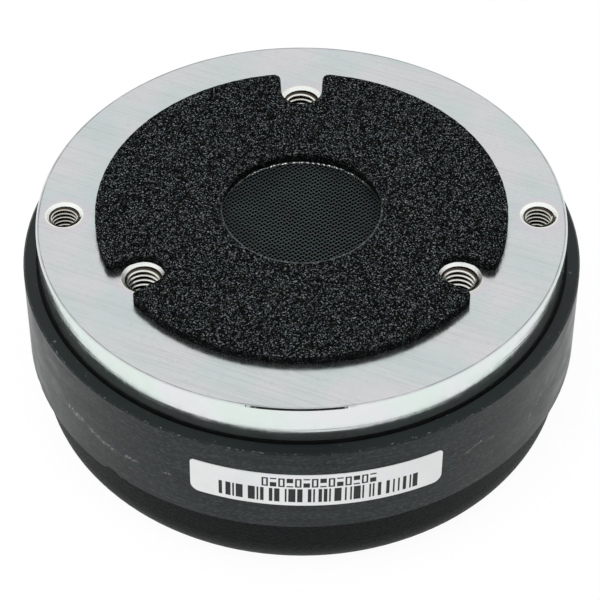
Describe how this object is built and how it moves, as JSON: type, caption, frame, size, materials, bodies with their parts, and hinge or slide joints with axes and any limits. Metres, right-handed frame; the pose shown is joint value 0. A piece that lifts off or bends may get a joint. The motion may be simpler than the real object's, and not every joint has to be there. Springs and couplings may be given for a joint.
{
  "type": "compression driver",
  "caption": "Compression driver: ring magnet motor with a bolt-on horn face, a foam-gasketed and screened round throat, a small dome diaphragm and a moulded rear cover.",
  "frame": {"origin": "centre of the rear cover's foot, on the plane that the driver rests on", "axes": "+Z out of the throat, towards the horn; +Y through one of the three M6 holes, over the terminals; +X through one of the two M5 holes"},
  "size_m": [0.0902, 0.0904, 0.0395],
  "materials": {
    "gasket_foam": "open-cell foam, matt",
    "screen_wire": "blackened woven wire",
    "zinc_plate": "bright zinc plating over fine turning marks",
    "ferrite": "sintered ferrite, satin, with chipped edges",
    "plug_plastic": "moulded",
    "film": "thin amber film",
    "former_film": "amber film",
    "copper_wire": "enamelled winding",
    "ring_plastic": "moulded",
    "screw_steel": "zinc plated",
    "copper_lead": "bare strip",
    "tinned_brass": "tinned",
    "felt": "pressed felt",
    "seal_rubber": "closed-cell strip",
    "cover_plastic": "fine moulded texture",
    "black_steel": "black oxide",
    "label_paper": null
  },
  "bodies": {
    "motor": {"foam_gasket": "gasket_foam", "throat_screen": "screen_wire", "front_plate": "zinc_plate", "pole_piece": "zinc_plate", "ferrite_magnet": "ferrite", "gap_plate": "zinc_plate", "phase_plug": "plug_plastic", "diaphragm": "film", "diaphragm_ring": "ring_plastic", "diaphragm_screws": "screw_steel", "locating_pins": "screw_steel", "lead_positive": "copper_lead", "lead_negative": "copper_lead", "terminal_positive": "tinned_brass", "terminal_negative": "tinned_brass", "damping_pad": "felt", "cover_gasket": "seal_rubber", "rear_cover": "cover_plastic", "cover_screws": "black_steel", "label": "label_paper"},
    "moving_coil": {"voice_coil_former": "former_film", "voice_coil": "copper_wire"}
  },
  "joints": [
    {"name": "coil_travel", "type": "slide", "parent": "motor", "child": "moving_coil", "axis": [0, 0, 1], "range_m": [-0.0003, 0.0003], "stiffness_N_per_m": 5000, "deforming": ["diaphragm"]}
  ]
}
